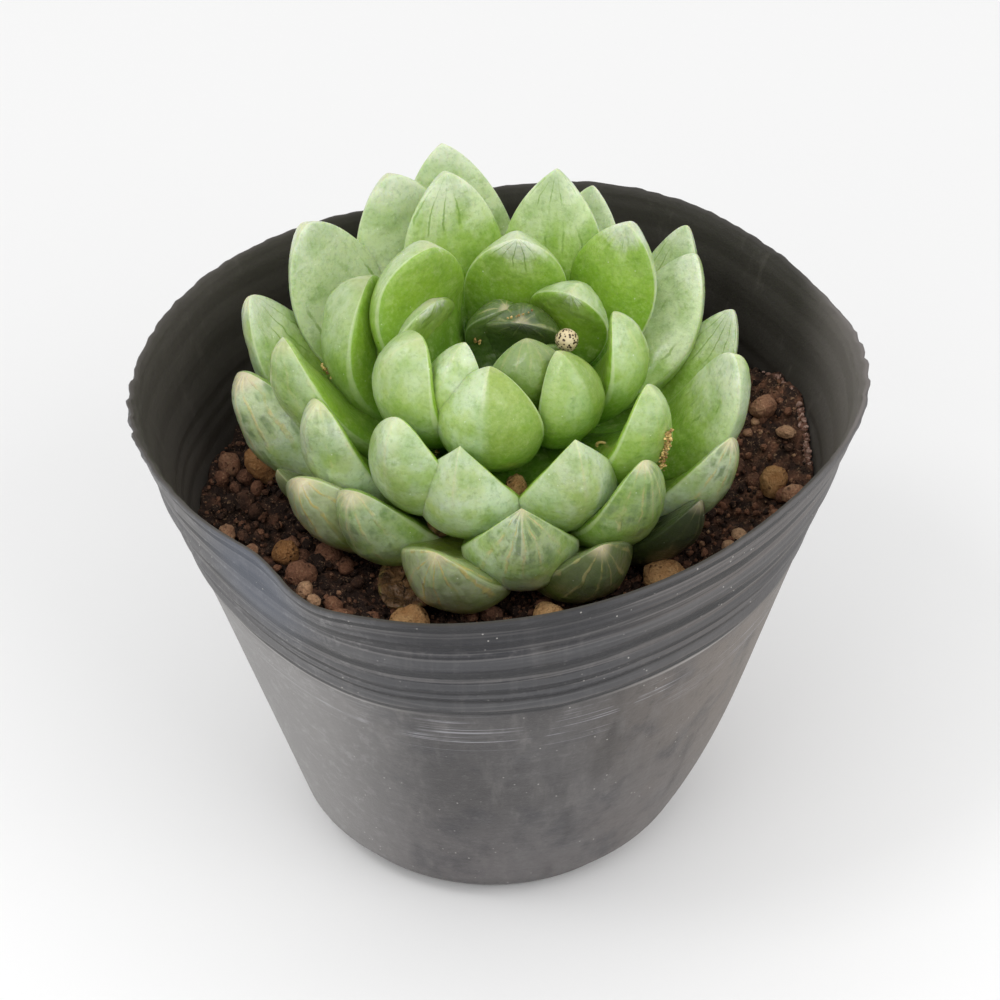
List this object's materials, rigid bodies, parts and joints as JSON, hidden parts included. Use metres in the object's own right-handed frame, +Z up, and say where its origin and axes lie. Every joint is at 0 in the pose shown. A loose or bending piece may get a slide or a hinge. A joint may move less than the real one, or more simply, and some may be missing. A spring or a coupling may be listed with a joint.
{
  "type": "potted haworthia",
  "caption": "Small rosette succulent with thick translucent-tipped leaves, growing in potting mix in a soft ribbed plastic nursery pot.",
  "frame": {"origin": "centre of the bounding box's underside, on the surface the pot stands on", "axes": "+Z up out of the pot, -Y towards the side the plant is shown from"},
  "size_m": [0.0953, 0.0887, 0.0825],
  "materials": {
    "pot_plastic": "soft dark nursery film, scuffed",
    "potting_mix": "moist peat and bark crumbs",
    "stem": "dull green-brown",
    "leaf_young": "fleshy, satin, translucent tip",
    "leaf_middle": "fleshy, satin, translucent tip",
    "leaf_outer": "fleshy, satin, pale veins",
    "leaf_lowest": "older, darker, pale veins",
    "leaf_withered": "dry and wrinkled",
    "baked_clay": "porous, matte",
    "prill": "speckled shell"
  },
  "bodies": {
    "root": {"nursery_pot": "pot_plastic", "potting_soil": "potting_mix", "stem": "stem", "heart_leaf_01": "leaf_young", "heart_leaf_02": "leaf_young", "heart_leaf_03": "leaf_young", "heart_leaf_04": "leaf_young", "inner_leaf_01": "leaf_young", "inner_leaf_02": "leaf_young", "inner_leaf_03": "leaf_young", "inner_leaf_04": "leaf_young", "inner_leaf_05": "leaf_young", "inner_leaf_06": "leaf_young", "inner_leaf_07": "leaf_young", "inner_leaf_08": "leaf_young", "inner_leaf_09": "leaf_young", "middle_leaf_01": "leaf_middle", "middle_leaf_02": "leaf_middle", "middle_leaf_03": "leaf_middle", "middle_leaf_04": "leaf_middle", "middle_leaf_05": "leaf_middle", "middle_leaf_06": "leaf_middle", "middle_leaf_07": "leaf_middle", "middle_leaf_08": "leaf_middle", "middle_leaf_09": "leaf_middle", "middle_leaf_10": "leaf_middle", "outer_leaf_01": "leaf_outer", "outer_leaf_02": "leaf_outer", "outer_leaf_03": "leaf_outer", "outer_leaf_04": "leaf_outer", "outer_leaf_05": "leaf_outer", "outer_leaf_06": "leaf_outer", "outer_leaf_07": "leaf_outer", "outer_leaf_08": "leaf_outer", "outer_leaf_09": "leaf_outer", "outer_leaf_10": "leaf_outer", "outer_leaf_11": "leaf_outer", "outer_leaf_12": "leaf_outer", "outer_leaf_13": "leaf_outer", "outer_leaf_14": "leaf_outer", "lowest_leaf_01": "leaf_lowest", "lowest_leaf_02": "leaf_lowest", "lowest_leaf_03": "leaf_lowest", "lowest_leaf_04": "leaf_lowest", "lowest_leaf_05": "leaf_lowest", "lowest_leaf_06": "leaf_lowest", "lowest_leaf_07": "leaf_lowest", "lowest_leaf_08": "leaf_lowest", "lowest_leaf_09": "leaf_lowest", "lowest_leaf_10": "leaf_lowest", "withered_leaf_01": "leaf_withered", "withered_leaf_02": "leaf_withered", "fertiliser_prill": "prill", "clay_granule_1": "baked_clay", "clay_granule_2": "baked_clay", "clay_granule_3": "baked_clay", "clay_granule_4": "baked_clay", "clay_granule_5": "baked_clay", "clay_granule_6": "baked_clay", "clay_granule_7": "baked_clay"}
  },
  "joints": []
}
